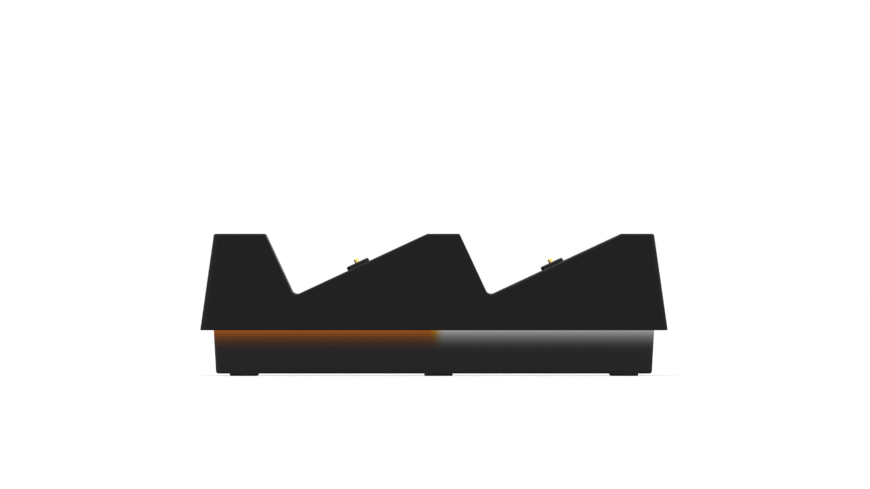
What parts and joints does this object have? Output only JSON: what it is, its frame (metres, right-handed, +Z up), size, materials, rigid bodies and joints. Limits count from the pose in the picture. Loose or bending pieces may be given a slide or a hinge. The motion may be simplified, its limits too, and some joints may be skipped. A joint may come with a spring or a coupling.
{
  "type": "controller charging dock",
  "caption": "Low black charging dock with sawtooth cradles for game controllers, sprung charging pins in the ramps and a glowing strip under the overhanging upper housing.",
  "frame": {"origin": "on the table under the middle of the dock, at the bottom centre of its box", "axes": "+X to the right along the dock seen from the front, +Y to the back, +Z up"},
  "size_m": [0.197, 0.0678, 0.06],
  "materials": {
    "upper_plastic": "fine spark-eroded black ABS",
    "base_plastic": "fine spark-eroded black ABS",
    "guide_orange": "milky polycarbonate lit orange",
    "guide_white": "milky polycarbonate lit white",
    "foot_rubber": "moulded rubber",
    "carrier_plastic": "black glass-filled nylon",
    "pin_gold": "gold-plated brass",
    "spring_steel": "drawn wire",
    "screw_steel": "zinc-plated steel",
    "board_laminate": "green solder mask",
    "chip_resin": "moulded epoxy",
    "lamp_lens": "clear epoxy over phosphor",
    "can_aluminium": "sleeveless drawn can",
    "shell_steel": "tinned folded sheet",
    "plug_nylon": "natural nylon",
    "lead_pvc": "flexible PVC"
  },
  "bodies": {
    "housing": {"upper_housing": "upper_plastic", "base_housing": "base_plastic", "housing_screws": "screw_steel", "contact_screws": "screw_steel", "main_board": "board_laminate", "board_screws": "screw_steel", "charge_chips": "chip_resin", "inductors": "chip_resin", "capacitors": "can_aluminium", "controller_chip": "chip_resin", "usb_shell": "shell_steel", "usb_tongue": "carrier_plastic", "foot_front_left": "foot_rubber", "foot_front_middle": "foot_rubber", "foot_front_right": "foot_rubber", "foot_rear_left": "foot_rubber", "foot_rear_middle": "foot_rubber", "foot_rear_right": "foot_rubber", "light_guide_left": "guide_orange", "led_board_left": "board_laminate", "leds_left": "lamp_lens", "led_lead_left": "lead_pvc", "contact_carrier_left": "carrier_plastic", "contact_board_left": "board_laminate", "contact_header_left": "plug_nylon", "harness_left": "lead_pvc", "board_header_left": "plug_nylon", "pin_spring_left_1": "spring_steel", "pin_spring_left_2": "spring_steel", "pin_spring_left_3": "spring_steel", "light_guide_right": "guide_white", "led_board_right": "board_laminate", "leds_right": "lamp_lens", "led_lead_right": "lead_pvc", "contact_carrier_right": "carrier_plastic", "contact_board_right": "board_laminate", "contact_header_right": "plug_nylon", "harness_right": "lead_pvc", "board_header_right": "plug_nylon", "pin_spring_right_1": "spring_steel", "pin_spring_right_2": "spring_steel", "pin_spring_right_3": "spring_steel"},
    "pin_left_1": {"contact_pin_left_1": "pin_gold"},
    "pin_left_2": {"contact_pin_left_2": "pin_gold"},
    "pin_left_3": {"contact_pin_left_3": "pin_gold"},
    "pin_right_1": {"contact_pin_right_1": "pin_gold"},
    "pin_right_2": {"contact_pin_right_2": "pin_gold"},
    "pin_right_3": {"contact_pin_right_3": "pin_gold"}
  },
  "joints": [
    {"name": "pin_left_1_press", "type": "slide", "parent": "housing", "child": "pin_left_1", "axis": [0.4226, 0, -0.9063], "range_m": [0, 0.0012], "stiffness_N_per_m": 250, "springref_m": -0.002, "deforming": ["pin_spring_left_1"]},
    {"name": "pin_left_2_press", "type": "slide", "parent": "housing", "child": "pin_left_2", "axis": [0.4226, 0, -0.9063], "range_m": [0, 0.0012], "stiffness_N_per_m": 250, "springref_m": -0.002, "deforming": ["pin_spring_left_2"]},
    {"name": "pin_left_3_press", "type": "slide", "parent": "housing", "child": "pin_left_3", "axis": [0.4226, 0, -0.9063], "range_m": [0, 0.0012], "stiffness_N_per_m": 250, "springref_m": -0.002, "deforming": ["pin_spring_left_3"]},
    {"name": "pin_right_1_press", "type": "slide", "parent": "housing", "child": "pin_right_1", "axis": [0.4226, 0, -0.9063], "range_m": [0, 0.0012], "stiffness_N_per_m": 250, "springref_m": -0.002, "deforming": ["pin_spring_right_1"]},
    {"name": "pin_right_2_press", "type": "slide", "parent": "housing", "child": "pin_right_2", "axis": [0.4226, 0, -0.9063], "range_m": [0, 0.0012], "stiffness_N_per_m": 250, "springref_m": -0.002, "deforming": ["pin_spring_right_2"]},
    {"name": "pin_right_3_press", "type": "slide", "parent": "housing", "child": "pin_right_3", "axis": [0.4226, 0, -0.9063], "range_m": [0, 0.0012], "stiffness_N_per_m": 250, "springref_m": -0.002, "deforming": ["pin_spring_right_3"]}
  ]
}
